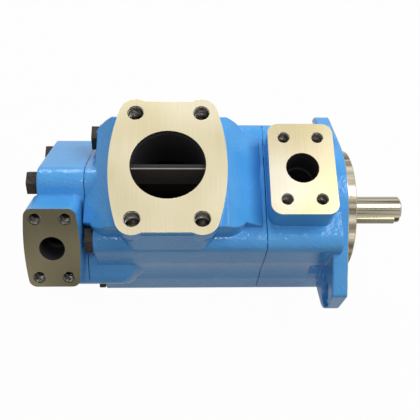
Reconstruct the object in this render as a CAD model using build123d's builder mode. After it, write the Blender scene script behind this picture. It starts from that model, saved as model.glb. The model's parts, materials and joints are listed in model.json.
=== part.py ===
from build123d import *
from math import cos, radians, sin, sqrt
import os

# Tandem balanced vane pump, built in millimetres.
# Origin: centre of the mounting face, on the shaft axis.  +X leaves the drive end,
# +Z leaves the inlet port, and the mounting lugs lie along Y.

os.makedirs("parts", exist_ok=True)

# ---------------------------------------------------------------- driving sizes
# mounting flange and pilot
pilot_r = 50.8
pilot_length = 9.5
flange_thickness = 12.0
flange_length = 171.0
flange_tip_half_width = 26.0
flange_sharp_corner_r = 4.0
flange_round_corner_r = 18.0
flange_round_r = 62.0
lug_hole_pitch = 146.05
lug_hole_r = 7.15
lug_pocket_r = 21.0
lug_pocket_depth = 11.5
lug_spotface_r = 13.5
lug_spotface_depth = 2.0

# stations along the shaft, as distances behind the mounting face
front_joint = 64.5
inlet_station = 140.1
rear_joint = 205.0
cover_thickness = 36.5

# long body bolts, and the casting section that carries them
body_bolt_circle_r = 63.5
body_boss_r = 11.0
body_bulge_r = 57.5
side_groove_depth = 1.3
side_groove_width = 40.0
body_bolt_seat = 197.0
body_bolt_r = 5.0
body_bolt_reach = 168.0
body_head_flats = 19.0
body_head_height = 6.4
body_head_pocket_r = 12.8

# cover bolts and the casting section that carries them
cover_bolt_circle_r = 52.5
cover_boss_r = 13.3
cover_boss_run = 24.0
cover_boss_fade = 24.0
cover_bolt_r = 5.0
cover_bolt_reach = 62.0
cover_head_flats = 17.0
cover_head_height = 8.6
washer_height = 1.4

# inlet port
inlet_face = 84.6
inlet_bore_r = 28.6
inlet_mouth_depth = 4.0
inlet_throat_r = 27.9
inlet_pitch_x = 50.8
inlet_pitch_y = 88.9
inlet_tap_r = 6.35
inlet_tap_depth = 24.0
inlet_lobe_r = 12.5
inlet_half_width = 44.7
inlet_half_height = 54.9
trunk_taper = 14.0
trunk_half_x = 35.0
trunk_corner_r = 12.0
trunk_inset = 0.4
rib_thickness = 4.0
rib_top_drop = 4.6
rib_depth = 30.0
saddle_foot = 57.0
saddle_half_width = 39.3
saddle_flare = 7.5
saddle_flare_run = 14.0
inlet_plate_thickness = 9.6
saddle_end_gap = 3.5

# first outlet port, on the shaft-end body
outlet_1_station = 38.1
outlet_1_face = 79.0
outlet_1_bore_r = 12.7
outlet_1_bore_depth = 24.0
outlet_1_passage_r = 11.0
outlet_1_pitch_x = 26.2
outlet_1_pitch_y = 52.4
outlet_1_pad_x = 50.8
outlet_1_pad_y = 77.0
outlet_1_corner_r = 8.5

# second outlet port, on the rear cover, turned about the shaft axis
outlet_2_station = 226.3
outlet_2_face = 80.3
outlet_2_turn = 45.0
outlet_2_bore_r = 9.55
outlet_2_bore_depth = 24.0
outlet_2_passage_r = 8.0
outlet_2_pitch_x = 22.2
outlet_2_pitch_y = 47.6
outlet_2_pad_x = 41.6
outlet_2_pad_y = 63.6
outlet_2_bow = 2.3
outlet_2_corner_r = 6.0
outlet_2_neck = 30.0
outlet_tap_r = 4.75
outlet_tap_depth = 19.0

# drive shaft, key, bearings and seal
shaft_r = 11.11
shaft_reach = 58.7
shaft_tip_chamfer = 1.4
seat_r = 12.5
core_r = 10.5
spline_r = 12.0
spline_tooth = 3.0
spline_teeth = 8
tail_r = 8.5
key_size = 4.76
key_length = 33.0
key_start = 19.5
key_angle = 166.0
bearing_rear = -10.0
bearing_width = 15.0
bearing_outer_r = 26.0
race_wall = 3.3
ball_r = 3.9
ball_count = 9
tail_bearing_width = 12.0
tail_bearing_outer_r = 20.0
tail_race_wall = 2.7
tail_ball_r = 3.45
tail_ball_count = 8
cage_wall = 1.8
snap_ring_width = 1.5
snap_ring_wall = 3.0
seal_outer_r = 21.0
seal_width = 8.0
seal_lip_wall = 2.2

# casting cavities
chamber_gap = (4.0, 4.5)
front_outlet_chamber_r = 36.0
front_outlet_chamber_end = 27.0
rear_outlet_chamber_r = 33.0
hub_bore_r = 20.0
hub_wall = 4.5
web_bore_r = 14.0
cover_floor = 9.5

# pumping cartridges: (front, rear)
plate_depth = (14.5, 10.0)
plate_width = (16.0, 10.0)
ring_width = (32.0, 24.0)
inlet_plate_width = (13.0, 11.0)
cam_minor_r = (30.0, 26.0)
cam_lift = (3.4, 3.0)
ring_wall = (8.6, 9.0)
vane_height = (11.4, 10.0)
vane_thickness = 1.8
insert_height = 4.2
vane_count = 10
first_vane_angle = 18.0
kidney_width = 4.0
kidney_sweep = 42.0
pin_r = 2.5
pin_depth = 5.0
screw_r = 2.5
screw_head_r = 4.2
screw_head_height = 4.0

# fits
running_gap = 0.1
slip_gap = 0.15
rotor_gap = 0.4
tip_gap = 0.25
thread_gap = 0.1
bolt_hole_gap = 0.5

# face seals in the two casting joints
cord_r = 1.3
groove_depth = 2.6
groove_width = 3.2
seal_1_r = 49.4
seal_2_r = 45.6

# edges
machined_edge = 0.8
cast_edge = 1.5
joint_edge = 0.5

# ---------------------------------------------------------------- worked-out places
half_root = sqrt(0.5)
body_corner = body_bolt_circle_r * half_root
body_flat = body_corner + body_boss_r
cover_end = rear_joint + cover_thickness
lug_y = lug_hole_pitch / 2
n2 = (0, -sin(radians(outlet_2_turn)), cos(radians(outlet_2_turn)))
port_1 = Plane(origin=(-outlet_1_station, 0, outlet_1_face), x_dir=(1, 0, 0), z_dir=(0, 0, 1))
port_2 = Plane(
    origin=(-outlet_2_station, n2[1] * outlet_2_face, n2[2] * outlet_2_face),
    x_dir=(1, 0, 0),
    z_dir=n2,
)
inlet_top = Plane(origin=(-inlet_station, 0, inlet_face), x_dir=(1, 0, 0), z_dir=(0, 0, 1))
groove_half = side_groove_width / 2
groove_r = (groove_half**2 + side_groove_depth**2) / (2 * side_groove_depth)
ring_outer_r = [cam_minor_r[i] + cam_lift[i] + ring_wall[i] for i in (0, 1)]
front_chamber_r = ring_outer_r[0] + chamber_gap[0]
rear_chamber_r = ring_outer_r[1] + chamber_gap[1]
plate_seat = (front_joint - plate_depth[0], rear_joint + plate_depth[1])
bearing_front = bearing_rear + bearing_width
tail_bearing_front = cover_end - cover_floor - tail_bearing_width
hub_gap = 0.8


def station(distance):
    """Section plane square to the shaft, this far behind the mounting face."""
    return Plane.YZ.offset(-distance)


def corner_spots(count, circle_r, turn):
    return [
        (circle_r * cos(radians(turn + 360 * i / count)), circle_r * sin(radians(turn + 360 * i / count)))
        for i in range(count)
    ]


body_bolt_spots = corner_spots(4, body_bolt_circle_r, 45)
cover_bolt_spots = corner_spots(4, cover_bolt_circle_r, outlet_2_turn - 45)


# ---------------------------------------------------------------- shared sections
def body_section(distance):
    """Rounded square through the four long bolts, with a shallow groove down each side."""
    with BuildSketch(station(distance)) as section:
        with Locations(*body_bolt_spots):
            Circle(body_boss_r)
        make_hull()
        Circle(body_bulge_r)
        with Locations((body_flat + groove_r - side_groove_depth, 0)):
            Circle(groove_r, mode=Mode.SUBTRACT)
        with Locations((-body_flat - groove_r + side_groove_depth, 0)):
            Circle(groove_r, mode=Mode.SUBTRACT)
    return section.sketch


def cover_section(distance):
    """Rounded square through the four cover bolts, turned with the second outlet."""
    with BuildSketch(station(distance)) as section:
        with Locations(*cover_bolt_spots):
            Circle(cover_boss_r)
        make_hull()
    return section.sketch


def bowed_rectangle(plane, width, height, bow, corner_r):
    """Rectangle whose two long sides bow out by a little, as on a cast port pad."""
    bow_r = (height**2 / 4 + bow**2) / (2 * bow)
    with BuildSketch(plane) as outline:
        Rectangle(width, height)
        with Locations((width / 2 - bow_r, 0)):
            Circle(bow_r, mode=Mode.INTERSECT)
        with Locations((bow_r - width / 2, 0)):
            Circle(bow_r, mode=Mode.INTERSECT)
        fillet(outline.vertices(), corner_r)
    return outline.sketch


def inlet_outline(plane):
    """Inlet flange: four bolt lobes, hollow ends and softly bowed sides."""
    lobe_x = inlet_pitch_x / 2
    lobe_y = inlet_pitch_y / 2
    side_gap = inlet_half_width - lobe_x
    bow_r = (side_gap**2 + lobe_y**2 - inlet_lobe_r**2) / (2 * (side_gap - inlet_lobe_r))
    with BuildSketch(plane) as outline:
        Rectangle(2 * inlet_half_width, 2 * inlet_half_height)
        for side in (1, -1):
            with Locations((side * (inlet_half_width - bow_r), 0)):
                Circle(bow_r, mode=Mode.INTERSECT)
        fillet(outline.vertices(), inlet_lobe_r)
        with GridLocations(inlet_pitch_x, inlet_pitch_y, 2, 2):
            Circle(inlet_lobe_r)
        inner = [v for v in outline.vertices() if abs(v.X - plane.origin.X) < lobe_x]
        fillet(inner, inlet_lobe_r / 2)
    return outline.sketch


def hex_bolts(spots, seat, reach, shank_r, flats, head_height):
    """Hex bolts: heads behind the seat plane, shanks running forward to +X."""
    with BuildPart() as group:
        for spot in spots:
            with BuildSketch(station(seat)):
                with Locations(spot):
                    Circle(shank_r)
            extrude(amount=reach)
            with BuildSketch(station(seat)):
                with Locations(spot):
                    Circle(flats / 2)
            extrude(amount=-washer_height)
            with BuildSketch(station(seat + washer_height)):
                with Locations(spot):
                    RegularPolygon(flats / 2, 6, major_radius=False)
            extrude(amount=washer_height - head_height)
    return group.part


def round_bars(spots, start, end, bar_r):
    """Plain round bars from one station to another, one for each spot."""
    with BuildPart() as group:
        with BuildSketch(station(start)):
            with Locations(*spots):
                Circle(bar_r)
        extrude(amount=start - end)
    return group.part


def turned(points):
    """Solid of revolution about the shaft axis from (x, radius) points."""
    with BuildPart() as solid:
        with BuildSketch(Plane.XZ):
            with BuildLine():
                Polyline(*points, close=True)
            make_face()
        revolve(axis=Axis.X)
    return solid.part


def annulus(x_low, x_high, r_in, r_out):
    return turned([(x_low, r_in), (x_high, r_in), (x_high, r_out), (x_low, r_out)])


def cam_radius(which, angle):
    """Two-lobed cam: smallest on the Z axis side of each half turn, largest between."""
    return cam_minor_r[which] + cam_lift[which] * (1 - cos(2 * radians(angle))) / 2


def seal_cord(x, centre_r):
    with BuildPart() as cord:
        with BuildSketch(Plane.XZ):
            with Locations((x, centre_r)):
                Circle(cord_r)
        revolve(axis=Axis.X)
    return cord.part


def write(part, name):
    part.label = name
    export_step(part, f"parts/{name}.step")


# ---------------------------------------------------------------- shaft-end body
with BuildPart() as front_body:
    with BuildSketch(station(flange_thickness)):
        Circle(flange_round_r)
        for side in (1, -1):
            for rise, corner_r in ((side, flange_round_corner_r), (-side, flange_sharp_corner_r)):
                corner_y = side * (flange_length / 2 - corner_r)
                with Locations((corner_y, rise * (flange_tip_half_width - corner_r))):
                    Circle(corner_r)
        make_hull()
    extrude(amount=flange_thickness)
    fillet(front_body.faces().sort_by(Axis.X)[0].edges(), cast_edge)
    with BuildSketch(Plane.YZ):
        Circle(pilot_r)
    extrude(amount=pilot_length)
    chamfer(front_body.faces().sort_by(Axis.X)[-1].edges(), machined_edge)
    extrude(body_section(front_joint), amount=front_joint - flange_thickness / 2)
    chamfer(front_body.faces().sort_by(Axis.X)[0].edges(), joint_edge)
    with BuildSketch(port_1):
        RectangleRounded(outlet_1_pad_x, outlet_1_pad_y, outlet_1_corner_r)
    extrude(amount=-(outlet_1_face - body_corner))
    with BuildSketch(station(flange_thickness + lug_pocket_depth)):
        with Locations((lug_y, 0), (-lug_y, 0)):
            Circle(lug_pocket_r)
    extrude(amount=lug_pocket_depth, mode=Mode.SUBTRACT)
    # spotfaces and bolt holes through the lugs, and tapped holes for the long bolts
    with BuildSketch(station(flange_thickness)):
        with Locations((lug_y, 0), (-lug_y, 0)):
            Circle(lug_spotface_r)
    extrude(amount=lug_spotface_depth, mode=Mode.SUBTRACT)
    with BuildSketch(station(flange_thickness)):
        with Locations((lug_y, 0), (-lug_y, 0)):
            Circle(lug_hole_r)
    extrude(amount=flange_thickness, mode=Mode.SUBTRACT)
    with BuildSketch(station(front_joint)):
        with Locations(*body_bolt_spots):
            Circle(body_bolt_r + thread_gap)
    extrude(
        amount=body_bolt_reach - (body_bolt_seat - front_joint) + groove_depth,
        mode=Mode.SUBTRACT,
    )
    # stepped bore: cartridge seat, pressure chamber, hub seal, shaft, seal pocket, bearing
    add(annulus(-front_joint, -plate_seat[0], 0, ring_outer_r[0] + slip_gap), mode=Mode.SUBTRACT)
    add(annulus(-front_joint, -front_outlet_chamber_end, 0, front_outlet_chamber_r), mode=Mode.SUBTRACT)
    add(annulus(-front_joint, bearing_rear - seal_width - 4, 0, hub_bore_r), mode=Mode.SUBTRACT)
    add(annulus(-front_joint, pilot_length, 0, web_bore_r), mode=Mode.SUBTRACT)
    add(annulus(bearing_rear - seal_width, pilot_length, 0, seal_outer_r), mode=Mode.SUBTRACT)
    add(annulus(bearing_rear, pilot_length, 0, bearing_outer_r), mode=Mode.SUBTRACT)
    # groove for the bearing's snap ring, and the joint seal's groove
    add(
        annulus(bearing_front, bearing_front + snap_ring_width + running_gap, 0,
                bearing_outer_r + snap_ring_wall / 2),
        mode=Mode.SUBTRACT,
    )
    add(
        annulus(-front_joint, -front_joint + groove_depth, seal_1_r - groove_width / 2,
                seal_1_r + groove_width / 2),
        mode=Mode.SUBTRACT,
    )
    # outlet bore and its four tapped holes
    with BuildSketch(port_1):
        Circle(outlet_1_bore_r)
    extrude(amount=-outlet_1_bore_depth, mode=Mode.SUBTRACT)
    with BuildSketch(port_1):
        Circle(outlet_1_passage_r)
    extrude(amount=-(outlet_1_face - hub_bore_r - hub_wall), mode=Mode.SUBTRACT)
    with BuildSketch(port_1):
        with GridLocations(outlet_1_pitch_x, outlet_1_pitch_y, 2, 2):
            Circle(outlet_tap_r)
    extrude(amount=-outlet_tap_depth, mode=Mode.SUBTRACT)
write(front_body.part, "front_body")

# ---------------------------------------------------------------- inlet housing
saddle_right_x = -front_joint - saddle_end_gap
saddle_root_z = inlet_face - inlet_plate_thickness
root_left_x = -inlet_station - inlet_half_width
root_right_x = -inlet_station + inlet_half_width
fade_start_x = -rear_joint + cover_boss_run
fade_end_x = fade_start_x + cover_boss_fade
flare_r = (saddle_flare_run**2 + saddle_flare**2) / (2 * saddle_flare)
boss_top_r = cover_bolt_circle_r + cover_boss_r
fade_low_r = body_flat - 2
fade_r = (cover_boss_fade**2 + (boss_top_r - fade_low_r) ** 2) / (4 * (boss_top_r - fade_low_r))

with BuildPart() as saddle:
    # side view: two ramps falling from the inlet flange to the ends of the casting
    with BuildSketch(Plane.XZ):
        with BuildLine():
            Polyline(
                (root_left_x, saddle_root_z),
                (-rear_joint, saddle_foot),
                (-rear_joint, 0),
                (saddle_right_x, 0),
                (saddle_right_x, saddle_foot),
                (root_right_x, saddle_root_z),
                close=True,
            )
        make_face()
    extrude(amount=inlet_half_height, both=True)
    # plan view: even width, cut back where the left end meets the turned cover
    with BuildSketch(Plane.XY):
        with BuildLine():
            Polyline(
                (root_left_x - saddle_flare_run, saddle_half_width),
                (-body_bolt_seat, saddle_half_width),
                (-body_bolt_seat, 0),
                (-rear_joint, 0),
                (-rear_joint, -saddle_half_width + saddle_end_gap),
                (-body_bolt_seat, -saddle_half_width),
                (root_left_x - saddle_flare_run, -saddle_half_width),
            )
            Polyline(
                (root_right_x + saddle_flare_run, -saddle_half_width),
                (saddle_right_x, -saddle_half_width),
                (saddle_right_x, saddle_half_width),
                (root_right_x + saddle_flare_run, saddle_half_width),
            )
            # the sides spread in a hollow curve as they meet the inlet flange
            for side in (1, -1):
                wide_y = side * (saddle_half_width + saddle_flare)
                flare_y = side * saddle_half_width
                Line((root_left_x, wide_y), (root_right_x, wide_y))
                RadiusArc(
                    (root_left_x - saddle_flare_run, flare_y), (root_left_x, wide_y), side * flare_r
                )
                RadiusArc(
                    (root_right_x, wide_y), (root_right_x + saddle_flare_run, flare_y), side * flare_r
                )
        make_face()
    extrude(amount=inlet_face, mode=Mode.INTERSECT)

with BuildPart() as boss_fades:
    # the four cover-bolt bosses, easing into the flanks with a double curve
    extrude(cover_section(rear_joint), amount=cover_boss_run + cover_boss_fade)
    with BuildSketch(Plane.XZ):
        with BuildLine():
            middle_x = (fade_start_x + fade_end_x) / 2
            middle_r = (boss_top_r + fade_low_r) / 2
            Polyline(
                (fade_end_x, fade_low_r), (fade_end_x, 0), (-rear_joint, 0),
                (-rear_joint, boss_top_r), (fade_start_x, boss_top_r),
            )
            RadiusArc((fade_start_x, boss_top_r), (middle_x, middle_r), fade_r)
            RadiusArc((middle_x, middle_r), (fade_end_x, fade_low_r), -fade_r)
        make_face()
    revolve(axis=Axis.X, mode=Mode.INTERSECT)

with BuildPart() as inlet_housing:
    extrude(body_section(body_bolt_seat), amount=body_bolt_seat - front_joint)
    add(boss_fades.part)
    add(saddle.part)
    chamfer(inlet_housing.faces().sort_by(Axis.X)[-1].edges(), joint_edge)
    # inlet flange, tapering down into a square trunk that runs flush into the flanks
    extrude(inlet_outline(inlet_top), amount=-inlet_plate_thickness)
    under_plate = inlet_top.offset(-inlet_plate_thickness)
    extrude(inlet_outline(under_plate), amount=-(saddle_root_z - body_corner), taper=trunk_taper)
    with BuildSketch(under_plate.offset(inlet_plate_thickness / 2)):
        RectangleRounded(2 * trunk_half_x, 2 * (body_flat - trunk_inset), trunk_corner_r)
    extrude(amount=-(saddle_root_z - body_corner), mode=Mode.ADD)
    # room for the heads of the long bolts
    with BuildSketch(station(rear_joint)):
        with Locations(*body_bolt_spots):
            Circle(body_head_pocket_r)
    extrude(amount=rear_joint - body_bolt_seat, mode=Mode.SUBTRACT)
    # bored chamber, stepped at the rear cartridge
    add(annulus(-rear_joint, -front_joint, 0, rear_chamber_r), mode=Mode.SUBTRACT)
    add(annulus(-inlet_station - front_chamber_r, -front_joint, 0, front_chamber_r), mode=Mode.SUBTRACT)
    with BuildSketch(inlet_top):
        Circle(inlet_bore_r)
    extrude(amount=-inlet_mouth_depth, mode=Mode.SUBTRACT)
    with BuildSketch(inlet_top):
        Circle(inlet_throat_r)
    extrude(amount=-inlet_face, mode=Mode.SUBTRACT)
    with BuildSketch(inlet_top):
        with GridLocations(inlet_pitch_x, inlet_pitch_y, 2, 2):
            Circle(inlet_tap_r)
    extrude(amount=-inlet_tap_depth, mode=Mode.SUBTRACT)
    # cast rib that splits the port into two passages
    with BuildSketch(Plane.XZ.offset(-rib_thickness / 2)):
        with Locations((-inlet_station, inlet_face - rib_top_drop - rib_depth / 2)):
            Rectangle(2 * inlet_bore_r + 2, rib_depth)
    extrude(amount=rib_thickness)
    # bolt holes
    with BuildSketch(station(body_bolt_seat)):
        with Locations(*body_bolt_spots):
            Circle(body_bolt_r + bolt_hole_gap)
    extrude(amount=body_bolt_seat - front_joint, mode=Mode.SUBTRACT)
    with BuildSketch(station(rear_joint)):
        with Locations(*cover_bolt_spots):
            Circle(cover_bolt_r + thread_gap)
    extrude(amount=cover_bolt_reach - cover_thickness + groove_depth, mode=Mode.SUBTRACT)
write(inlet_housing.part, "inlet_housing")

# ---------------------------------------------------------------- rear cover
with BuildPart() as rear_cover:
    extrude(cover_section(cover_end), amount=cover_thickness)
    fillet(rear_cover.faces().sort_by(Axis.X)[0].edges(), cast_edge)
    chamfer(rear_cover.faces().sort_by(Axis.X)[-1].edges(), joint_edge)
    extrude(
        bowed_rectangle(port_2, outlet_2_pad_x, outlet_2_pad_y, outlet_2_bow, outlet_2_corner_r),
        amount=-outlet_2_neck,
    )
    add(annulus(-plate_seat[1], -rear_joint, 0, ring_outer_r[1] + slip_gap), mode=Mode.SUBTRACT)
    add(
        annulus(-cover_end + cover_floor, -rear_joint, hub_bore_r + hub_wall, rear_outlet_chamber_r),
        mode=Mode.SUBTRACT,
    )
    add(annulus(-cover_end + cover_floor, -rear_joint, 0, tail_bearing_outer_r), mode=Mode.SUBTRACT)
    with BuildSketch(port_2):
        Circle(outlet_2_bore_r)
    extrude(amount=-outlet_2_bore_depth, mode=Mode.SUBTRACT)
    with BuildSketch(port_2):
        Circle(outlet_2_passage_r)
    extrude(amount=-(outlet_2_face - hub_bore_r - hub_wall - 2), mode=Mode.SUBTRACT)
    with BuildSketch(port_2):
        with GridLocations(outlet_2_pitch_x, outlet_2_pitch_y, 2, 2):
            Circle(outlet_tap_r)
    extrude(amount=-outlet_tap_depth, mode=Mode.SUBTRACT)
    add(
        annulus(-rear_joint - groove_depth, -rear_joint, seal_2_r - groove_width / 2,
                seal_2_r + groove_width / 2),
        mode=Mode.SUBTRACT,
    )
    with BuildSketch(station(cover_end)):
        with Locations(*cover_bolt_spots):
            Circle(cover_bolt_r + bolt_hole_gap)
    extrude(amount=cover_thickness, mode=Mode.SUBTRACT)
write(rear_cover.part, "rear_cover")

# ---------------------------------------------------------------- long bolts
body_bolts = hex_bolts(
    body_bolt_spots, body_bolt_seat, body_bolt_reach, body_bolt_r, body_head_flats, body_head_height
)
write(body_bolts, "body_bolts")
cover_bolts = hex_bolts(
    cover_bolt_spots, cover_end, cover_bolt_reach, cover_bolt_r, cover_head_flats, cover_head_height
)
write(cover_bolts, "cover_bolts")

# ---------------------------------------------------------------- joint seals
groove_front_x = -front_joint + cord_r
groove_rear_x = -rear_joint - cord_r
write(seal_cord(groove_front_x, seal_1_r), "front_joint_seal")
write(seal_cord(groove_rear_x, seal_2_r), "rear_joint_seal")

# ---------------------------------------------------------------- drive shaft and key
seat_rear = bearing_rear - seal_width - 2
tail_front = -tail_bearing_front
sense = (-1, 1)
seat_x = (-plate_seat[0], -plate_seat[1])
ring_start_x = [seat_x[i] + sense[i] * plate_width[i] for i in (0, 1)]
ring_end_x = [ring_start_x[i] + sense[i] * ring_width[i] for i in (0, 1)]
plate_end_x = [ring_end_x[i] + sense[i] * inlet_plate_width[i] for i in (0, 1)]


def spline_section(x, grow):
    """Straight-sided spline: grow is zero on the shaft and a gap in the rotor bores."""
    with BuildSketch(Plane.YZ.offset(x)) as section:
        Circle(core_r + grow)
        with PolarLocations(spline_r / 2, spline_teeth):
            Rectangle(spline_r + 2 * grow, spline_tooth + 2 * grow)
    return section.sketch


with BuildPart() as drive_shaft:
    with BuildSketch(Plane.XZ):
        with BuildLine():
            Polyline(
                (-cover_end + cover_floor, 0),
                (-cover_end + cover_floor, tail_r - machined_edge),
                (-cover_end + cover_floor + machined_edge, tail_r),
                (tail_front, tail_r),
                (tail_front, core_r),
                (seat_rear, core_r),
                (seat_rear, seat_r),
                (bearing_front, seat_r),
                (bearing_front, seat_r - machined_edge),
                (bearing_front + snap_ring_width + running_gap, seat_r - machined_edge),
                (bearing_front + snap_ring_width + running_gap, seat_r),
                (bearing_front + 2 * snap_ring_width, seat_r),
                (bearing_front + 2 * snap_ring_width, shaft_r),
                (shaft_reach - shaft_tip_chamfer, shaft_r),
                (shaft_reach, shaft_r - shaft_tip_chamfer),
                (shaft_reach, 0),
                close=True,
            )
        make_face()
    revolve(axis=Axis.X)
    for i in (0, 1):
        low_x = min(ring_start_x[i], ring_end_x[i])
        extrude(spline_section(low_x, 0), amount=ring_width[i])
    # keyway, milled from the run-out to the shaft end
    with BuildSketch(Plane.YZ.offset(key_start)):
        with PolarLocations(shaft_r, 1, start_angle=key_angle):
            Rectangle(key_size, key_size)
    extrude(amount=shaft_reach, mode=Mode.SUBTRACT)
write(drive_shaft.part, "drive_shaft")

with BuildPart() as shaft_key:
    with BuildSketch(Plane.YZ.offset(key_start)):
        with PolarLocations(shaft_r, 1, start_angle=key_angle):
            Rectangle(key_size, key_size)
    extrude(amount=key_length)
write(shaft_key.part, "shaft_key")


# ---------------------------------------------------------------- bearings, seal, snap rings
def race(low_x, width, r_in, r_out, pitch_r, ball):
    """Bearing race with its ball track."""
    with BuildPart() as ring:
        add(annulus(low_x, low_x + width, r_in, r_out))
        with BuildSketch(Plane.XZ):
            with Locations((low_x + width / 2, pitch_r)):
                Circle(ball + slip_gap)
        revolve(axis=Axis.X, mode=Mode.SUBTRACT)
    return ring.part


def ball_row(middle_x, pitch_r, ball, count):
    with BuildPart() as row:
        with Locations(Plane.YZ.offset(middle_x)):
            with PolarLocations(pitch_r, count):
                Sphere(ball)
    return row.part


def bearing(name, low_x, width, r_in, r_out, wall, ball, count):
    pitch_r = (r_in + r_out) / 2
    middle_x = low_x + width / 2
    write(race(low_x, width, r_out - wall, r_out, pitch_r, ball), name + "_outer_race")
    write(race(low_x, width, r_in, r_in + wall, pitch_r, ball), name + "_inner_race")
    write(ball_row(middle_x, pitch_r, ball, count), name + "_balls")
    with BuildPart() as cage:
        half = ball + cage_wall / 2
        add(annulus(middle_x - half, middle_x + half, pitch_r - cage_wall / 2, pitch_r + cage_wall / 2))
        for k in range(count):
            turn = radians(360 * k / count)
            pocket = Plane(origin=(middle_x, 0, 0), x_dir=(1, 0, 0), z_dir=(0, cos(turn), sin(turn)))
            with BuildSketch(pocket):
                Circle(ball + slip_gap)
            extrude(amount=r_out, mode=Mode.SUBTRACT)
    write(cage.part, name + "_cage")


bearing(
    "front_bearing", bearing_rear, bearing_width, seat_r, bearing_outer_r, race_wall, ball_r, ball_count
)
bearing(
    "rear_bearing", -cover_end + cover_floor, tail_bearing_width, tail_r, tail_bearing_outer_r,
    tail_race_wall, tail_ball_r, tail_ball_count,
)

snap_end_x = bearing_front + snap_ring_width
body_ring_r = bearing_outer_r + snap_ring_wall / 2
shaft_ring_r = seat_r - machined_edge
write(
    annulus(bearing_front, snap_end_x, body_ring_r - snap_ring_wall, body_ring_r - slip_gap),
    "bearing_snap_ring",
)
write(
    annulus(bearing_front, snap_end_x, shaft_ring_r + running_gap, shaft_ring_r + snap_ring_wall),
    "shaft_snap_ring",
)

seal_back_x = bearing_rear - seal_width
shaft_seal = turned([
    (seal_back_x, seal_outer_r),
    (bearing_rear, seal_outer_r),
    (bearing_rear, seat_r + seal_lip_wall),
    (bearing_rear - seal_width / 2, seat_r + slip_gap),
    (bearing_rear - seal_width / 2 - seal_lip_wall / 2, seat_r + slip_gap),
    (bearing_rear - seal_width / 2 - seal_lip_wall / 2, seat_r + seal_lip_wall),
    (bearing_rear - seal_lip_wall, seat_r + 2 * seal_lip_wall),
    (bearing_rear - seal_lip_wall, seal_outer_r - seal_lip_wall),
    (seal_back_x, seal_outer_r - seal_lip_wall),
])
write(shaft_seal, "shaft_seal")

# ---------------------------------------------------------------- pumping cartridges
cartridge_names = ("front", "rear")
inlet_kidney_angle = 45
outlet_kidney_angle = 135
pin_angles = (30, 210)
screw_angles = (150, 330)


def polar_spots(circle_r, angles):
    return [(circle_r * cos(radians(a)), circle_r * sin(radians(a))) for a in angles]


def kidneys(x, middle_r, angle):
    """Pair of curved ports, half a turn apart."""
    with BuildSketch(Plane.YZ.offset(x)) as ports:
        for turn in (0, 180):
            start = angle + turn - kidney_sweep / 2
            middle_line = Edge.make_circle(middle_r, start_angle=start, end_angle=start + kidney_sweep)
            SlotArc(middle_line, kidney_width)
    return ports.sketch


def span(x_a, x_b):
    return min(x_a, x_b), max(x_a, x_b)


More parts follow.
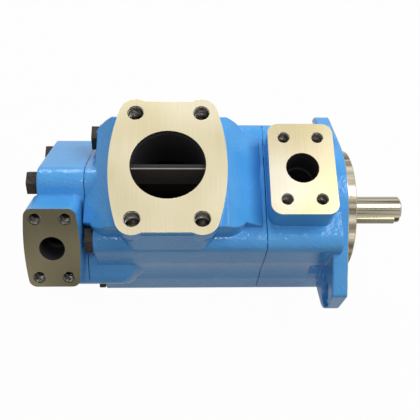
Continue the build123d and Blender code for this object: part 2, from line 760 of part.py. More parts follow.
for i in (0, 1):
    name = cartridge_names[i]
    outer_r = ring_outer_r[i]
    rotor_r = cam_minor_r[i] - rotor_gap
    tip_r = rotor_r - running_gap
    vane_root_r = tip_r - vane_height[i]
    slot_root_r = vane_root_r - 3 * running_gap
    kidney_r = cam_minor_r[i] + cam_lift[i] / 2
    pin_spots = polar_spots(ring_outer_r[i] - ring_wall[i] / 2, pin_angles)
    screw_spots = polar_spots(ring_outer_r[i] - ring_wall[i] / 2, screw_angles)
    ring_low = min(ring_start_x[i], ring_end_x[i])
    plate_low, plate_high = span(seat_x[i], ring_start_x[i])
    inlet_low, inlet_high = span(ring_end_x[i], plate_end_x[i])
    hub_end_x = (-bearing_rear + seal_width + 4 + hub_gap) * -1 if i == 0 else tail_front + hub_gap
    hub_low, hub_high = span(seat_x[i], hub_end_x)

    # cam ring: round outside, two-lobed track inside
    with BuildPart() as cam_ring:
        with BuildSketch(Plane.YZ.offset(ring_low)):
            Circle(outer_r)
            with BuildLine():
                track = [
                    (cam_radius(i, a) * cos(radians(a)), cam_radius(i, a) * sin(radians(a)))
                    for a in range(0, 360, 10)
                ]
                Spline(*track, periodic=True)
            make_face(mode=Mode.SUBTRACT)
            with Locations(*pin_spots):
                Circle(pin_r + thread_gap, mode=Mode.SUBTRACT)
            with Locations(*screw_spots):
                Circle(screw_r + thread_gap, mode=Mode.SUBTRACT)
        extrude(amount=ring_width[i])
    write(cam_ring.part, name + "_cam_ring")

    # outlet plate: disc that seats in the casting, with a hub sealed in its bore
    with BuildPart() as outlet_plate:
        add(annulus(plate_low, plate_high, 0, outer_r))
        add(annulus(hub_low, hub_high, 0, hub_bore_r - slip_gap))
        add(annulus(min(plate_low, hub_low), max(plate_high, hub_high), 0, web_bore_r), mode=Mode.SUBTRACT)
        extrude(kidneys(plate_low, kidney_r, outlet_kidney_angle), amount=plate_width[i], mode=Mode.SUBTRACT)
        with BuildSketch(Plane.YZ.offset(ring_start_x[i])):
            with Locations(*pin_spots, *screw_spots):
                Circle(pin_r + thread_gap)
        extrude(amount=-sense[i] * (plate_width[i] - pin_depth / 2), mode=Mode.SUBTRACT)
    write(outlet_plate.part, name + "_outlet_plate")

    # inlet plate: plain disc that closes the other side of the ring
    with BuildPart() as inlet_plate:
        add(annulus(inlet_low, inlet_high, web_bore_r, outer_r))
        extrude(
            kidneys(inlet_low, kidney_r, inlet_kidney_angle), amount=inlet_plate_width[i], mode=Mode.SUBTRACT
        )
        with BuildSketch(Plane.YZ.offset(ring_end_x[i])):
            with Locations(*pin_spots):
                Circle(pin_r + thread_gap)
        extrude(amount=sense[i] * inlet_plate_width[i] / 2, mode=Mode.SUBTRACT)
        with BuildSketch(Plane.YZ.offset(ring_end_x[i])):
            with Locations(*screw_spots):
                Circle(screw_r + thread_gap)
        extrude(amount=sense[i] * inlet_plate_width[i], mode=Mode.SUBTRACT)
        with BuildSketch(Plane.YZ.offset(plate_end_x[i])):
            with Locations(*screw_spots):
                Circle(screw_head_r + slip_gap)
        extrude(amount=-sense[i] * screw_head_height, mode=Mode.SUBTRACT)
    write(inlet_plate.part, name + "_inlet_plate")

    # dowel pins and clamping screws
    pin_end_x = (ring_start_x[i] - sense[i] * pin_depth, ring_end_x[i] + sense[i] * inlet_plate_width[i] / 2)
    pin_low, pin_high = span(*pin_end_x)
    write(round_bars(pin_spots, -pin_low, -pin_high, pin_r), name + "_dowel_pins")
    with BuildPart() as screws:
        head_x = plate_end_x[i] - sense[i] * screw_head_height
        with BuildSketch(Plane.YZ.offset(head_x)):
            with Locations(*screw_spots):
                Circle(screw_r)
        extrude(amount=-sense[i] * (abs(head_x - ring_start_x[i]) + pin_depth))
        with BuildSketch(Plane.YZ.offset(head_x)):
            with Locations(*screw_spots):
                Circle(screw_head_r)
                RegularPolygon(screw_r * 0.9, 6, mode=Mode.SUBTRACT)
        extrude(amount=sense[i] * screw_head_height)
    write(screws.part, name + "_cartridge_screws")

    # rotor: splined bore and one radial slot for each vane
    vane_angles = [first_vane_angle + 360 * k / vane_count for k in range(vane_count)]
    with BuildPart() as rotor:
        with BuildSketch(Plane.YZ.offset(ring_low + running_gap)):
            Circle(rotor_r)
            middle_r = (slot_root_r + rotor_r + 1) / 2
            with PolarLocations(middle_r, vane_count, start_angle=first_vane_angle):
                Rectangle(rotor_r + 1 - slot_root_r, vane_thickness + 2 * running_gap, mode=Mode.SUBTRACT)
            add(spline_section(ring_low + running_gap, running_gap), mode=Mode.SUBTRACT)
        extrude(amount=ring_width[i] - 2 * running_gap)
    write(rotor.part, name + "_rotor")

    # vanes, each notched at its root over a small insert that stays in the slot
    vane_width = ring_width[i] - 2 * running_gap
    insert_width = vane_width / 2
    insert_low = ring_low + running_gap + (vane_width - insert_width) / 2
    with BuildPart() as inserts:
        with BuildSketch(Plane.YZ.offset(insert_low)):
            with PolarLocations(slot_root_r + insert_height / 2, vane_count, start_angle=first_vane_angle):
                Rectangle(insert_height, vane_thickness)
        extrude(amount=insert_width)
    write(inserts.part, name + "_vane_inserts")
    notch = insert_height - (vane_root_r - slot_root_r) + running_gap
    for k, angle in enumerate(vane_angles):
        with BuildPart() as vane:
            with BuildSketch(Plane.YZ.offset(ring_low + running_gap)):
                with PolarLocations(vane_root_r + vane_height[i] / 2, 1, start_angle=angle):
                    Rectangle(vane_height[i], vane_thickness)
            extrude(amount=vane_width)
            with BuildSketch(Plane.YZ.offset(insert_low - running_gap)):
                with PolarLocations(vane_root_r + notch / 2, 1, start_angle=angle):
                    Rectangle(notch, vane_thickness + 1)
            extrude(amount=insert_width + 2 * running_gap, mode=Mode.SUBTRACT)
        write(vane.part, f"{name}_vane_{k + 1:02d}")
        free = cam_radius(i, angle) - tip_r - tip_gap
        print(f"{name} vane {k + 1} at {angle:.0f} degrees slides {free:.3f} mm")
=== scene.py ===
# %% [markdown]
# # Tandem vane pump, dressed for a render
# The castings, bolts, shaft and the two pumping cartridges come from the CAD frame, and every
# solid there keeps its shape.  This lesson gives each piece the finish that its maker gave it:
# sprayed enamel on cast iron, milled port faces, turned steel and black-oxide bolts.

# %% Load the frame
import json
import math

import bpy
from mathutils import Euler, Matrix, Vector

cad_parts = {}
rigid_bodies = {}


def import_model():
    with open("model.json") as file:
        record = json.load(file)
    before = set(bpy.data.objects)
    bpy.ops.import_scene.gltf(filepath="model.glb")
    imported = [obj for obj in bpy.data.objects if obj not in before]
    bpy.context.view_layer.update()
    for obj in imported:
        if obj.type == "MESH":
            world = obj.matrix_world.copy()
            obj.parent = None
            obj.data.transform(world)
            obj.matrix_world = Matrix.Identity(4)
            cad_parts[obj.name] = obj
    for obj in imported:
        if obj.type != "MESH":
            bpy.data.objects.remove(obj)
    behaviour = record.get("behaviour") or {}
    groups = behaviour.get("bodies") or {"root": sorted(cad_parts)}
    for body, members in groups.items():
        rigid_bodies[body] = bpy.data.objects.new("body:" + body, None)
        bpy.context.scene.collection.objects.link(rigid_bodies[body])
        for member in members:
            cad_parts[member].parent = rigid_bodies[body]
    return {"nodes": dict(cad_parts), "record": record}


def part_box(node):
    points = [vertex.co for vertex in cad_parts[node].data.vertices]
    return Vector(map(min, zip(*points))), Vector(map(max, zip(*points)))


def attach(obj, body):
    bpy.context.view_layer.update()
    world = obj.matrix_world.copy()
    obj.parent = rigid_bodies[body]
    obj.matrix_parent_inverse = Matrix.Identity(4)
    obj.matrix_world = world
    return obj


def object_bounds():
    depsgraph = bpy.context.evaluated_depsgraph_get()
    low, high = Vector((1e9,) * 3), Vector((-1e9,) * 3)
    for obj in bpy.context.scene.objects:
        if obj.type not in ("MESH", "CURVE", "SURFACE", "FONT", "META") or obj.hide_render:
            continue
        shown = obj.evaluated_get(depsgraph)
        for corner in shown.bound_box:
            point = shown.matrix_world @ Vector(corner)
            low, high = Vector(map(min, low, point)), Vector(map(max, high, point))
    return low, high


for old in list(bpy.data.objects):
    bpy.data.objects.remove(old)
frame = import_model()
cad_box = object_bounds()
nodes = frame["nodes"]
print("nodes in the frame:", len(nodes))

# %% [markdown]
# ## Two small helpers
# Paint charts and screens give colours as sRGB hex values, but the shader works in linear light,
# so one function turns the first into the second.  The other adds a node with its settings and
# its links in one line, which keeps each material short enough to read as a list of steps.  In
# its calls _0 means the first socket, and any other underscore stands for a space in a name.

# %% Colour and node helpers
def hex_colour(code):
    channels = [int(code[i:i + 2], 16) / 255 for i in (0, 2, 4)]
    linear = [c / 12.92 if c <= 0.04045 else ((c + 0.055) / 1.055) ** 2.4 for c in channels]
    return (*linear, 1.0)


def add_node(tree, kind, settings=None, **inputs):
    node = tree.nodes.new(kind)
    for name, value in (settings or {}).items():
        setattr(node, name, value)
    for name, value in inputs.items():
        key = int(name[1:]) if name[1:].isdigit() else name.replace("_", " ")
        socket = node.inputs[key]
        if isinstance(value, bpy.types.NodeSocket):
            tree.links.new(value, socket)
        else:
            socket.default_value = value
    return node


def new_finish(name):
    material = bpy.data.materials.new(name)
    material.use_nodes = True
    tree = material.node_tree
    tree.nodes.clear()
    place = add_node(tree, "ShaderNodeTexCoord")
    return material, tree, place.outputs["Object"], place.outputs["Normal"]


MM = 0.001
print("mid grey in linear light:", [round(c, 3) for c in hex_colour("808080")])

# %% [markdown]
# ## Where the castings are machined
# On the real pump the three castings are painted after the port faces are masked, so enamel and
# bare iron meet on one solid.  A mask from Object coordinates says which points are bare: those
# that lie above a port face's height along its normal, or inside one of its holes.  The heights
# are read from the frame's mounts, so they follow the CAD.

# %% Ports read from the record
mounts = {m["name"]: m for m in frame["record"]["mounts"]}


def port(bore, holes):
    """Centre and normal of a port face, with the radius of its bore and of its tapped holes."""
    face = mounts[bore]
    return {
        "centre": Vector(face["pos_m"]),
        "normal": Vector(face["axis"]).normalized(),
        "bore_r": face["dims"]["r_mm"] * MM,
        "hole_r": holes * MM,
    }


inlet = port("inlet_bore", mounts["inlet_bolts"]["dims"]["hole_r_mm"])
outlet_1 = port("outlet_1_bore", mounts["outlet_1_bolts"]["dims"]["hole_r_mm"])
outlet_2 = port("outlet_2_bore", mounts["outlet_2_bolt_1"]["dims"]["r_mm"])
bores = [round(p["bore_r"] / MM, 2) for p in (inlet, outlet_1, outlet_2)]
print("radii of the three port bores:", bores, "mm")

# %% [markdown]
# ## Masks made by arithmetic
# A mask is a number in the shader that is 1 where something holds and 0 elsewhere.  A height is a
# dot product with a direction, a distance from a line is the length of a cross product, and a
# comparison turns either into a mask.  The larger of two masks is "or", the smaller is "and".

# %% Heights, distances and how masks combine
AXIS = (1.0, 0.0, 0.0)


def arithmetic(tree, operation, first, second=0.0):
    return add_node(tree, "ShaderNodeMath", {"operation": operation}, _0=first, _1=second).outputs[0]


def along(tree, place, direction, offset):
    """Height of a point along a direction, less an offset, in metres."""
    dot = add_node(
        tree, "ShaderNodeVectorMath", {"operation": "DOT_PRODUCT"}, _0=place, _1=tuple(direction)
    )
    return arithmetic(tree, "SUBTRACT", dot.outputs["Value"], offset)


def radius_about(tree, place, centre, normal):
    """Distance of a point from the line through a centre along a normal, in metres."""
    out = add_node(tree, "ShaderNodeVectorMath", {"operation": "SUBTRACT"}, _0=place, _1=tuple(centre))
    across = add_node(
        tree, "ShaderNodeVectorMath", {"operation": "CROSS_PRODUCT"}, _0=out.outputs[0], _1=tuple(normal)
    )
    return add_node(
        tree, "ShaderNodeVectorMath", {"operation": "LENGTH"}, _0=across.outputs[0]
    ).outputs["Value"]


def above(tree, value, limit):
    return arithmetic(tree, "GREATER_THAN", value, limit)


def below(tree, value, limit):
    return arithmetic(tree, "LESS_THAN", value, limit)


def either(tree, *masks):
    joined = masks[0]
    for mask in masks[1:]:
        joined = arithmetic(tree, "MAXIMUM", joined, mask)
    return joined


def both(tree, *masks):
    joined = masks[0]
    for mask in masks[1:]:
        joined = arithmetic(tree, "MINIMUM", joined, mask)
    return joined


def choose(tree, mask, off, on):
    """One value or colour where the mask is 0, the other where it is 1."""
    # The node keeps its float sockets at 2 and 3, and its colour sockets at 6 and 7.
    colours = isinstance(on, tuple) or getattr(on, "type", "") in ("RGBA", "VECTOR")
    kind, low_key, high_key, out = ("RGBA", "_6", "_7", 2) if colours else ("FLOAT", "_2", "_3", 0)
    pair = {low_key: off, high_key: on}
    return add_node(tree, "ShaderNodeMix", {"data_type": kind}, _0=mask, **pair).outputs[out]


print("the shaft axis runs along", AXIS)

# %% [markdown]
# ## Grain, streaks, painted reflection bands and turning marks
# Object coordinates are in metres, so a noise scale counts how many grains fit in one metre, and
# 1000 divided by it is the size of a grain in millimetres.  A scale that is small along one
# direction draws the noise out into streaks.  On the round walls of a turned part, streaks along
# the shaft are painted reflection bands, the bright and dark lines that a ground bar shows under
# light.  The faces that were turned across it get rings, which are its turning marks.

# %% Noise for every finish
ALONG_SHAFT_PER_M = 5
RINGS_PER_M = 700.0
FLAT_FACE = 0.7


def noise(tree, place, per_metre, detail):
    """Even noise with a given number of grains to the metre."""
    return add_node(
        tree, "ShaderNodeTexNoise", Vector=place, Scale=per_metre, Detail=detail
    ).outputs["Fac"]


def streaks(tree, place, per_metre):
    """Noise with its own number of grains to the metre along X, Y and Z."""
    marks = add_node(tree, "ShaderNodeMapping", Vector=place, Scale=per_metre)
    return add_node(
        tree, "ShaderNodeTexNoise", Vector=marks.outputs[0], Scale=1.0, Detail=4.0, Roughness=0.6
    ).outputs["Fac"]


def sharpened(tree, value, low, high):
    """Spreads the middle of a noise over the whole range from 0 to 1."""
    return add_node(
        tree, "ShaderNodeMapRange", Value=value, From_Min=low, From_Max=high
    ).outputs[0]


def reflection_bands_and_rings(tree, place, normal, across):
    """Painted reflection bands along the shaft on a round wall, and turning rings on a face that was
    turned across it.
    """
    # Bright and dark streaks along the shaft: painted reflection bands, light and shade drawn into the
    # colour.
    painted_reflection_streaks = streaks(tree, place, (ALONG_SHAFT_PER_M, across, across))
    painted_bands = sharpened(tree, painted_reflection_streaks, 0.38, 0.62)
    # Real turning rings are a fifth of a millimetre apart; these are 1.4 mm, so that they show.
    rings = add_node(
        tree, "ShaderNodeTexNoise", {"noise_dimensions": "1D"}, Scale=RINGS_PER_M, Detail=2.0,
        W=radius_about(tree, place, (0, 0, 0), AXIS),
    ).outputs["Fac"]
    rings = choose(tree, sharpened(tree, rings, 0.3, 0.7), 0.55, 0.8)
    forward = add_node(tree, "ShaderNodeSeparateXYZ", Vector=normal).outputs["X"]
    flat = above(tree, arithmetic(tree, "ABSOLUTE", forward), FLAT_FACE)
    return choose(tree, flat, painted_bands, rings)


print("turning rings are", round(1000 / RINGS_PER_M, 2), "mm apart")

# %% [markdown]
# ## Sprayed enamel over cast iron
# The paint is a gloss enamel sprayed over a sand casting.  The sand leaves a soft grain that the
# paint fills in part, and every cast edge is rounded, which a bevelled normal gives without
# touching the solid.  Dirt sits in a thin line where two castings meet.  The milled port faces
# keep faint marks of the cutter under a warm film of oil.  The mounting face and its pilot are
# turned: the mounting face carries turning rings, and the pilot's colour carries painted
# reflection bands along the shaft.  The tapped holes are cut metal, drawn darker than the milled
# faces, partly as painted shade in the holes.  The throats and the hollow round the shaft are
# bare sand-cast iron, drawn nearly black, which is partly the iron's own dark tone and partly
# painted shade of the deep hollows.  The rib in the inlet is a dark brown grey, with a painted
# highlight on the corner that the light catches.  One shader takes all of these, because masks
# choose its colour, metal and roughness, and a later mask covers an earlier one.

# %% Enamel, bare iron and dark holes in one finish
ENAMEL_DULL, ENAMEL_BRIGHT = hex_colour("4A9BDB"), hex_colour("57A5E3")
SEAM_DIRT = hex_colour("245684")
# Two turned tones: they draw the mounting face's turning rings, and the pilot's painted reflection bands
# of light and shade.
TURNED_SHADE_AND_RING, TURNED_SHEEN_AND_RING = hex_colour("75695A"), hex_colour("E0D5BC")
# Tapped walls are cut iron drawn darker than the milled faces, and the hollows bare iron drawn near
# black; both are darker partly as painted shade.
TAPPED_WALL_SHADED, HOLLOW_IRON_AND_SHADE = hex_colour("66625B"), hex_colour("1F1E21")
# The rib's cast grey, and a lighter grey for the painted highlight on its top corner.
RIB_CAST, RIB_GLINT = hex_colour("585350"), hex_colour("A59F96")

CLOUDS_PER_M, OIL_PER_M = 30.0, 16.0
# The cutter's marks lie 0.7 mm apart along X and run on for 40 mm across it.
CUTTER_PER_M = (1500, 25, 25)
PILOT_BANDS_PER_M = 110
# Real moulding sand leaves a grain under 1 mm; this one is 2.5 mm, so that it shows from afar.
GRAINS_PER_M = 400.0
GRAIN_DEPTH = 0.7 * MM
PAINTED_GRAIN, MACHINED_GRAIN = 0.52, 0.02
CAST_ROUNDING, MACHINED_ROUNDING = 1.8 * MM, 0.15 * MM

ENAMEL_ROUGH, IRON_ROUGH, HOLLOW_ROUGH = 0.13, 0.28, 0.75
BARE_METALLIC = 0.9
ENAMEL_SPECULAR = 0.3

# The order in which casting_finish unpacks its masks.
MASKS = ("bare", "tap", "dark", "turned", "seam", "rib", "rib_painted_highlight")


def casting_finish(name, masks, iron_dull, iron_bright):
    """Blue enamel with bare, turned, tapped and hollow parts where the masks say so."""
    material, tree, place, normal = new_finish(name)
    bare, tap, dark, turned, seam, rib, rib_painted_highlight = (masks[key](tree, place) for key in MASKS)
    clouds = sharpened(tree, noise(tree, place, CLOUDS_PER_M, 4.0), 0.35, 0.65)
    enamel = choose(tree, clouds, ENAMEL_DULL, ENAMEL_BRIGHT)
    enamel = choose(tree, seam, enamel, SEAM_DIRT)
    oil_film = sharpened(tree, noise(tree, place, OIL_PER_M, 1.0), 0.35, 0.65)
    iron = choose(tree, oil_film, hex_colour(iron_dull), hex_colour(iron_bright))
    cutter_marks = choose(tree, streaks(tree, place, CUTTER_PER_M), 0.88, 1.12)
    iron = add_node(
        tree, "ShaderNodeVectorMath", {"operation": "SCALE"}, _0=iron, Scale=cutter_marks
    ).outputs[0]
    pilot_bands_and_rings = reflection_bands_and_rings(tree, place, normal, PILOT_BANDS_PER_M)
    colour = choose(tree, bare, enamel, iron)
    # The pilot's bright and dark bands along the shaft are painted reflection.
    colour = choose(tree, turned, colour, choose(tree, pilot_bands_and_rings, TURNED_SHADE_AND_RING, TURNED_SHEEN_AND_RING))
    # Tapped walls: cut iron, darker partly as painted shade in the holes.
    colour = choose(tree, tap, colour, TAPPED_WALL_SHADED)
    # Throats and hollows: bare iron drawn near black, partly its own tone and partly painted shade.
    colour = choose(tree, dark, colour, HOLLOW_IRON_AND_SHADE)
    colour = choose(tree, rib, colour, RIB_CAST)
    # The rib's lit corner is a painted highlight.
    colour = choose(tree, rib_painted_highlight, colour, RIB_GLINT)
    machined = either(tree, bare, tap, turned)
    metal = choose(tree, machined, 0.0, BARE_METALLIC)
    metal = choose(tree, dark, metal, 0.0)
    rough = choose(tree, either(tree, bare, tap), ENAMEL_ROUGH, IRON_ROUGH)
    rough = choose(tree, dark, rough, HOLLOW_ROUGH)
    rounding = choose(tree, machined, CAST_ROUNDING, MACHINED_ROUNDING)
    soft_edge = add_node(tree, "ShaderNodeBevel", {"samples": 8}, Radius=rounding)
    sand = add_node(
        tree, "ShaderNodeBump", Distance=GRAIN_DEPTH, Normal=soft_edge.outputs[0],
        Height=noise(tree, place, GRAINS_PER_M, 1.5),
        Strength=choose(tree, either(tree, bare, turned), PAINTED_GRAIN, MACHINED_GRAIN),
    )
    shader = add_node(
        tree, "ShaderNodeBsdfPrincipled", Base_Color=colour, Metallic=metal, Roughness=rough,
        Specular_IOR_Level=ENAMEL_SPECULAR, Normal=sand.outputs[0],
    )
    add_node(tree, "ShaderNodeOutputMaterial", Surface=shader.outputs[0])
    return material


print("enamel in linear light:", [round(c, 3) for c in ENAMEL_DULL])

# %% [markdown]
# ## Masks for each port
# A port face is bare above its own height.  Its tapped holes and its bore are sunk below it, and
# each stops at a depth, because a mask that ran on would come out through the far wall.  The
# masks reach a quarter of a millimetre past the true edges, so that no thin blue line is left.

# %% Port face, tapped holes and throat
EDGE = 0.25 * MM
TAP_DEPTH = 30 * MM


def port_masks(the_port, holes, throat_r):
    """Three masks: the port face, the walls of its tapped holes, and its bore."""
    offset = the_port["centre"].dot(the_port["normal"])

    def bare(tree, place):
        return above(tree, along(tree, place, the_port["normal"], offset), -EDGE)

    def down(tree, place, spots, deepest):
        height = along(tree, place, the_port["normal"], offset)
        rounds = [
            below(tree, radius_about(tree, place, spot, the_port["normal"]), r + EDGE)
            for spot, r in spots
        ]
        sunk = both(tree, below(tree, height, -EDGE), above(tree, height, -deepest))
        return both(tree, sunk, either(tree, *rounds))

    def tap(tree, place):
        return down(tree, place, holes, TAP_DEPTH)

    def throat(tree, place):
        return down(tree, place, [(the_port["centre"], throat_r)], offset)

    return bare, tap, throat


def bolt_holes(the_port, name):
    """Centres and radius of the four holes of a pattern that lies along X and Y."""
    dims = mounts[name]["dims"]
    x_step = Vector((dims["spacing_x_mm"] * MM / 2, 0, 0))
    y_step = Vector((0, dims["spacing_y_mm"] * MM / 2, 0))
    return [
        (the_port["centre"] + i * x_step + j * y_step, the_port["hole_r"])
        for i in (-1, 1) for j in (-1, 1)
    ]


inlet_holes = bolt_holes(inlet, "inlet_bolts")
outlet_1_holes = bolt_holes(outlet_1, "outlet_1_bolts")
outlet_2_holes = [
    (Vector(mounts[f"outlet_2_bolt_{i}"]["pos_m"]), outlet_2["hole_r"]) for i in (1, 2, 3, 4)
]
inlet_bare, inlet_tap, inlet_throat = port_masks(inlet, inlet_holes, inlet["bore_r"])
outlet_1_bare, outlet_1_tap, outlet_1_throat = port_masks(outlet_1, outlet_1_holes, outlet_1["bore_r"])
outlet_2_bare, outlet_2_tap, outlet_2_throat = port_masks(outlet_2, outlet_2_holes, outlet_2["bore_r"])
print("tapped holes:", len(inlet_holes), len(outlet_1_holes), len(outlet_2_holes))

# %% [markdown]
# ## Hollows, seams and the rib
# The paint stops where the castings are closed to the spray: the chamber round the cartridges and
# the seat round the front bearing, whose bare iron is drawn near black, partly as painted shade.
# Where two castings meet the paint film cracks, and the crack is broken up by noise.  The rib
# across the inlet throat is a plain band in height and width, and a narrow strip along its top
# corner is a painted highlight.

# %% Masks that the castings share
CHAMBER_ROOM, RACE_ROOM = 6 * MM, 1 * MM
SEAM_HALF = 0.35 * MM
CRACKS_PER_M = 80.0
RIB_HALF, RIB_TOP_DROP, RIB_DEPTH = 2.0 * MM, 4.6 * MM, 30.0 * MM
RIB_GLINT_WIDTH = 0.9 * MM

ring_low, ring_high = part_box("front_cam_ring")
chamber_r = (ring_high[1] - ring_low[1]) / 2 + CHAMBER_ROOM
race_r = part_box("front_bearing_outer_race")[1][1] + RACE_ROOM
housing_low, housing_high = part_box("inlet_housing")
joints_x = (housing_low[0], housing_high[0])
print("castings meet at x =", [round(x * 1000, 1) for x in joints_x], "mm")


def forward_of(tree, place):
    return add_node(tree, "ShaderNodeSeparateXYZ", Vector=place).outputs["X"]


def inside_or(throat, hollow_r):
    """The throat of a port, and the hollow round the shaft that the paint never reaches, drawn near
    black partly as painted shade.
    """
    def dark(tree, place):
        about_shaft = below(tree, radius_about(tree, place, (0, 0, 0), AXIS), hollow_r)
        behind_face = below(tree, forward_of(tree, place), -EDGE)
        return either(tree, throat(tree, place), both(tree, about_shaft, behind_face))
    return dark


def seam(tree, place):
    """A thin line each side of a joint, where the paint film has cracked and holds dirt."""
    forward = forward_of(tree, place)
    gaps = [arithmetic(tree, "ABSOLUTE", arithmetic(tree, "SUBTRACT", forward, x)) for x in joints_x]
    cracked = above(tree, noise(tree, place, CRACKS_PER_M, 2.0), 0.43)
    return both(tree, cracked, either(tree, *[below(tree, gap, SEAM_HALF) for gap in gaps]))


def rib_band(tree, place, near, far, shallow, deep):
    """Points between two distances across the shaft and between two depths below the inlet face."""
    parts = add_node(tree, "ShaderNodeSeparateXYZ", Vector=place).outputs
    depth = arithmetic(tree, "SUBTRACT", inlet["centre"].z, parts["Z"])
    throat = below(tree, radius_about(tree, place, inlet["centre"], (0, 0, 1)), inlet["bore_r"])
    across = both(tree, above(tree, parts["Y"], near), below(tree, parts["Y"], far))
    return both(tree, throat, across, above(tree, depth, shallow), below(tree, depth, deep))


def rib_side(tree, place):
    side = RIB_HALF + EDGE
    return rib_band(tree, place, -side, side, RIB_TOP_DROP + EDGE, RIB_DEPTH)


def rib_highlight_corner(tree, place):
    """The corner of the rib that the light catches, which gets a painted highlight."""
    return rib_band(
        tree, place, -RIB_HALF - EDGE, RIB_GLINT_WIDTH - RIB_HALF,
        RIB_TOP_DROP - EDGE, RIB_TOP_DROP + 2 * EDGE,
    )


def front_turned(tree, place):
    """The mounting face, and the pilot in front of it."""
    return above(tree, forward_of(tree, place), -EDGE)


# %% [markdown]
# ## One finish for each casting
# The three castings share one shader and differ in their masks and in the tone of their milled
# iron.  The two faces that look up are pale and warm.  The cover's face is the same milled iron,
# but it leans away from the light, and its dark olive grey is painted shade.  Where a casting has
# no such feature its mask is nothing.

# %% Finishes of the three castings
def nothing(tree, place):
    return 0.0


finishes = {
    "front_body": casting_finish("enamelled_iron_front", {
        "bare": outlet_1_bare, "tap": outlet_1_tap, "dark": inside_or(outlet_1_throat, race_r),
        "turned": front_turned, "seam": seam, "rib": nothing, "rib_painted_highlight": nothing,
    }, "C8BB95", "D8D1BD"),
    "inlet_housing": casting_finish("enamelled_iron_middle", {
        "bare": inlet_bare, "tap": inlet_tap, "dark": inside_or(inlet_throat, chamber_r),
        "turned": nothing, "seam": seam, "rib": rib_side, "rib_painted_highlight": rib_highlight_corner,
    }, "C6BA92", "DAD1B5"),
    "rear_cover": casting_finish("enamelled_iron_cover_painted_shade", {
        "bare": outlet_2_bare, "tap": outlet_2_tap, "dark": outlet_2_throat,
        "turned": nothing, "seam": seam, "rib": nothing, "rib_painted_highlight": nothing,
    # The cover's milled iron is drawn darker as painted shade, because its face leans away from the
    # light.
    }, "5D5745", "78725A"),
}
print("casting finishes:", sorted(finishes))

# %% [markdown]
# ## Plain metals and rubber
# The shaft is turned and ground.  Its round wall gets painted reflection bands, the bright and
# dark streaks along the shaft that light from above draws on a ground bar, and its flat end shows
# turning rings.  The bolts are black oxide, a thin dark skin that still shines a little.  Inside,
# the cam rings and vanes are ground steel, the side plates bronze, the seals rubber.  Each is one
# small tree, told apart by colour, roughness and the way its marks run.  Even marks of 1 to 2 mm
# stand for a finish that is really much finer.

# %% Metal finishes
ROUGHNESS_SPREAD = 0.06
MARK_STRENGTH = 0.15
SHAFT_BANDS_PER_M = 560
SHAFT_MARK_DEPTH = 0.03 * MM


def metal_finish(name, light, deep, roughness, per_metre, metallic=1.0, depth=0.1 * MM, turned=False):
    """A metal or rubber of two tones, whose marks come from one noise."""
    material, tree, place, normal = new_finish(name)
    marks = streaks(tree, place, per_metre)
    tone = sharpened(tree, marks, 0.35, 0.65)
    # With turned set, the tone is painted reflection bands along the shaft and turning rings on the flat
    # end.
    if turned:
        tone = reflection_bands_and_rings(tree, place, normal, per_metre[1])
    colour = choose(tree, tone, hex_colour(deep), hex_colour(light))
    rough = add_node(
        tree, "ShaderNodeMapRange", Value=marks, To_Min=roughness - ROUGHNESS_SPREAD,
        To_Max=roughness + ROUGHNESS_SPREAD,
    )
    bump = add_node(tree, "ShaderNodeBump", Strength=MARK_STRENGTH, Distance=depth, Height=marks)
    shader = add_node(
        tree, "ShaderNodeBsdfPrincipled", Base_Color=colour, Metallic=metallic,
        Roughness=rough.outputs[0], Normal=bump.outputs[0],
    )
    add_node(tree, "ShaderNodeOutputMaterial", Surface=shader.outputs[0])
    return material


by_slot = {
    # The shaft's bright and dark bands along its length are painted reflection.
    "turned_steel": metal_finish(
        "turned_steel", "D6D0B8", "5C574C", 0.20, (ALONG_SHAFT_PER_M, SHAFT_BANDS_PER_M, SHAFT_BANDS_PER_M),
        depth=SHAFT_MARK_DEPTH, turned=True,
    ),
    "ground_steel": metal_finish("ground_steel", "B9BABC", "94969A", 0.30, (900, 900, 900)),
    "black_oxide_steel": metal_finish(
        "black_oxide_steel", "453F3A", "26221F", 0.42, (700, 700, 700), metallic=0.8
    ),
    "bronze": metal_finish("lapped_bronze", "B08A4E", "94703A", 0.35, (800, 800, 800)),
    "seal_rubber": metal_finish(
        "nitrile_rubber", "1F1F20", "151516", 0.6, (500, 500, 500), metallic=0.0
    ),
    "cage_steel": metal_finish("pressed_steel", "A8A9AB", "8C8D90", 0.38, (700, 700, 700)),
}
for part in frame["record"]["subparts"]:
    solid = nodes[part["node"]]
    finish = finishes.get(part["node"]) or by_slot[part["material_slot"]]
    solid.data.materials.clear()
    solid.data.materials.append(finish)

# %% [markdown]
# ## Threads in the tapped holes
# Each port flange is held by four screws, so its holes are tapped.  A thread is one V-shaped ridge
# that winds down the wall.  Geometry Nodes draw it as a spiral with a three-sided section, set it
# on every hole of a port, and turn it to the port's normal, so one small tree serves all three
# ports with their own radius, pitch and direction.

# %% A node tree that winds a thread at each point
STEPS_A_TURN = 28
RIDGE_SHARE = 0.36


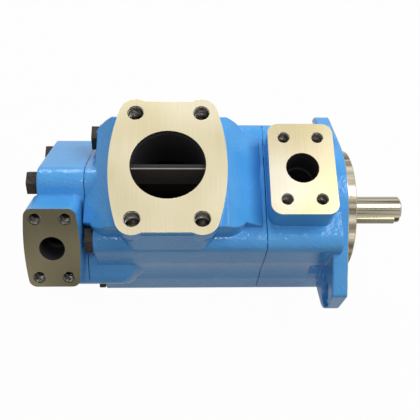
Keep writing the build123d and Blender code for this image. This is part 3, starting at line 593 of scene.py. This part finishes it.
def thread_tree(material):
    """Sockets for the hole and the thread, then a spiral swept with a three-sided section."""
    tree = bpy.data.node_groups.new("wound_thread", "GeometryNodeTree")
    face = tree.interface
    face.new_socket("Geometry", in_out="INPUT", socket_type="NodeSocketGeometry")
    for name in ("Hole radius", "Pitch", "Turns"):
        face.new_socket(name, in_out="INPUT", socket_type="NodeSocketFloat")
    face.new_socket("Normal", in_out="INPUT", socket_type="NodeSocketVector")
    face.new_socket("Geometry", in_out="OUTPUT", socket_type="NodeSocketGeometry")
    given = add_node(tree, "NodeGroupInput").outputs
    ridge = add_node(
        tree, "ShaderNodeMath", {"operation": "MULTIPLY"}, _0=given["Pitch"], _1=RIDGE_SHARE
    ).outputs[0]
    middle = add_node(
        tree, "ShaderNodeMath", {"operation": "MULTIPLY_ADD"}, _0=ridge, _1=-0.5, _2=given["Hole radius"]
    ).outputs[0]
    rise = add_node(
        tree, "ShaderNodeMath", {"operation": "MULTIPLY"}, _0=given["Pitch"], _1=given["Turns"]
    ).outputs[0]
    spiral = add_node(
        tree, "GeometryNodeCurveSpiral", Resolution=STEPS_A_TURN, Rotations=given["Turns"],
        Start_Radius=middle, End_Radius=middle, Height=rise,
    )
    section = add_node(tree, "GeometryNodeCurvePrimitiveCircle", Resolution=3, Radius=ridge)
    wound = add_node(
        tree, "GeometryNodeCurveToMesh", Curve=spiral.outputs[0], Profile_Curve=section.outputs[0]
    )
    tree.links.new(
        add_node(tree, "FunctionNodeInputBool", {"boolean": True}).outputs[0], wound.inputs["Fill Caps"]
    )
    upright = add_node(
        tree, "FunctionNodeAlignRotationToVector", {"axis": "Z"}, Vector=given["Normal"]
    )
    placed = add_node(
        tree, "GeometryNodeInstanceOnPoints", Points=given["Geometry"], Instance=wound.outputs[0],
        Rotation=upright.outputs[0],
    )
    real = add_node(tree, "GeometryNodeRealizeInstances", Geometry=placed.outputs[0])
    dressed = add_node(
        tree, "GeometryNodeSetMaterial", Geometry=real.outputs[0], Material=material
    )
    add_node(tree, "NodeGroupOutput", Geometry=dressed.outputs[0])
    return tree


def made_by_nodes(name, points, tree, values):
    """Runs a node tree on loose points and keeps the result as a plain mesh."""
    seed_mesh = bpy.data.meshes.new(name + "_points")
    seed_mesh.from_pydata([tuple(p) for p in points], [], [])
    seed = bpy.data.objects.new(name + "_points", seed_mesh)
    bpy.context.scene.collection.objects.link(seed)
    work = seed.modifiers.new("nodes", "NODES")
    work.node_group = tree
    for item in tree.interface.items_tree:
        if item.in_out == "INPUT" and item.name in values:
            work[item.identifier] = values[item.name]
    bpy.context.view_layer.update()
    evaluated = seed.evaluated_get(bpy.context.evaluated_depsgraph_get())
    mesh = bpy.data.meshes.new_from_object(evaluated)
    bpy.data.objects.remove(seed)
    piece = bpy.data.objects.new(name, mesh)
    bpy.context.scene.collection.objects.link(piece)
    print(name, "has", len(mesh.polygons), "faces")
    return piece


print("a thread is drawn with", STEPS_A_TURN, "steps to the turn")

# %% Threads for the three ports
THREAD_TURNS = 8.0
# Millimetres: the plain start of a hole, and the two pitches.
LEAD_IN = 0.8
INLET_PITCH, OUTLET_PITCH = 1.95, 1.59

thread_iron = metal_finish("cut_thread_iron", "A8A49B", "6B6760", 0.30, (500, 500, 500))
thread = thread_tree(thread_iron)
for name, the_port, holes, pitch in (
    ("inlet_threads", inlet, inlet_holes, INLET_PITCH),
    ("outlet_1_threads", outlet_1, outlet_1_holes, OUTLET_PITCH),
    ("outlet_2_threads", outlet_2, outlet_2_holes, OUTLET_PITCH),
):
    depth = (THREAD_TURNS * pitch + LEAD_IN) * MM
    starts = [centre - the_port["normal"] * depth for centre, _ in holes]
    values = {
        "Hole radius": the_port["hole_r"], "Pitch": pitch * MM, "Turns": THREAD_TURNS,
        "Normal": the_port["normal"],
    }
    piece = made_by_nodes(name, starts, thread, values)
    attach(piece, "housing")

# %% [markdown]
# ## Camera
# The pump lies on a white table with its inlet up and is seen from above.  The camera stands
# half a metre over it, a little towards the near side, with a short telephoto lens.

# %% Camera
view_camera = bpy.data.cameras.new("view_camera")
view_camera.lens = 55.78
view_camera.sensor_width = 36.0
view_camera.shift_x = -0.004
view_camera.shift_y = 0.0024
camera = bpy.data.objects.new("view_camera", view_camera)
camera.location = (-0.12541, -0.22718, 0.51575)
camera.rotation_euler = Euler([math.radians(a) for a in (23.6657, -1.9258, -0.8874)], "XYZ")
bpy.context.scene.collection.objects.link(camera)
bpy.context.scene.camera = camera
print("camera at", [round(c, 3) for c in camera.location])

# %% [markdown]
# ## Floor and world
# The floor glows nearly white to the camera, and it does so less in mirror-like reflections, so
# that the enamel's flanks stay blue.  Light that falls on it in any other way meets a grey matte
# surface, which catches the pump's own soft shadow.  The world is white behind it all but lights
# the pump only weakly.

# %% Floor and world
FLOOR_DROP, FLOOR_HALF = 0.5 * MM, 2.0
GLOW_SEEN, GLOW_MIRRORED = 0.975, 0.40
TABLE_GREY = 0.5
WORLD_LIGHT, WORLD_SEEN = 0.22, 1.0

low, high = cad_box
floor_z = low[2] - FLOOR_DROP
floor_mesh = bpy.data.meshes.new("floor")
corners = [(-1, -1), (1, -1), (1, 1), (-1, 1)]
floor_mesh.from_pydata(
    [(x * FLOOR_HALF, y * FLOOR_HALF, floor_z) for x, y in corners], [], [(0, 1, 2, 3)]
)
floor = bpy.data.objects.new("floor", floor_mesh)
bpy.context.scene.collection.objects.link(floor)
floor_paint, tree, _, _ = new_finish("white_table")
rays = add_node(tree, "ShaderNodeLightPath").outputs
straight = either(tree, rays["Is Camera Ray"], rays["Is Transmission Ray"])
mirrored = arithmetic(tree, "MULTIPLY", rays["Is Glossy Ray"], GLOW_MIRRORED)
share = either(tree, arithmetic(tree, "MULTIPLY", straight, GLOW_SEEN), mirrored)
glow = add_node(tree, "ShaderNodeEmission", Color=(1, 1, 1, 1), Strength=1.0)
matte = add_node(tree, "ShaderNodeBsdfDiffuse", Color=(TABLE_GREY, TABLE_GREY, TABLE_GREY, 1))
mixed = add_node(
    tree, "ShaderNodeMixShader", _0=share, _1=matte.outputs[0], _2=glow.outputs[0]
)
add_node(tree, "ShaderNodeOutputMaterial", Surface=mixed.outputs[0])
floor_mesh.materials.append(floor_paint)

world = bpy.data.worlds.new("studio")
bpy.context.scene.world = world
world.use_nodes = True
sky = world.node_tree
sky.nodes.clear()
rays = add_node(sky, "ShaderNodeLightPath").outputs
seen = either(sky, rays["Is Camera Ray"], rays["Is Transmission Ray"], rays["Is Glossy Ray"])
strength = choose(sky, seen, WORLD_LIGHT, WORLD_SEEN)
back = add_node(sky, "ShaderNodeBackground", Color=(1, 1, 1, 1), Strength=strength)
add_node(sky, "ShaderNodeOutputWorld", Surface=back.outputs[0])
bpy.context.scene.view_settings.view_transform = "Standard"
print("floor", round(-floor_z / MM, 1), "mm under the shaft axis")

# %% [markdown]
# ## Lamps
# A broad window lamp on the drive-end side gives most of the light and the soft shadow.  A small
# lamp near the camera puts sharp glints on the enamel's grain, and a low lamp behind the pump
# brightens its far edges.

# %% Lamps
def soft_lamp(name, place, target, size, power):
    light = bpy.data.lights.new(name, "AREA")
    light.shape = "DISK"
    light.size = size
    light.energy = power
    lamp = bpy.data.objects.new(name, light)
    lamp.location = place
    lamp.rotation_euler = (Vector(target) - Vector(place)).to_track_quat("-Z", "Y").to_euler()
    bpy.context.scene.collection.objects.link(lamp)
    return lamp


middle = ((low[0] + high[0]) / 2, 0, 0)
soft_lamp("window", (middle[0] + 0.75, 0.25, 1.2), middle, size=0.8, power=11.5)
soft_lamp("small_lamp", (middle[0] - 0.05, -0.35, 1.3), middle, size=0.12, power=3.0)
soft_lamp("back_lamp", (middle[0] - 0.2, 0.95, 0.6), middle, size=0.5, power=5.0)
print("lamps in place about", [round(c, 3) for c in middle])
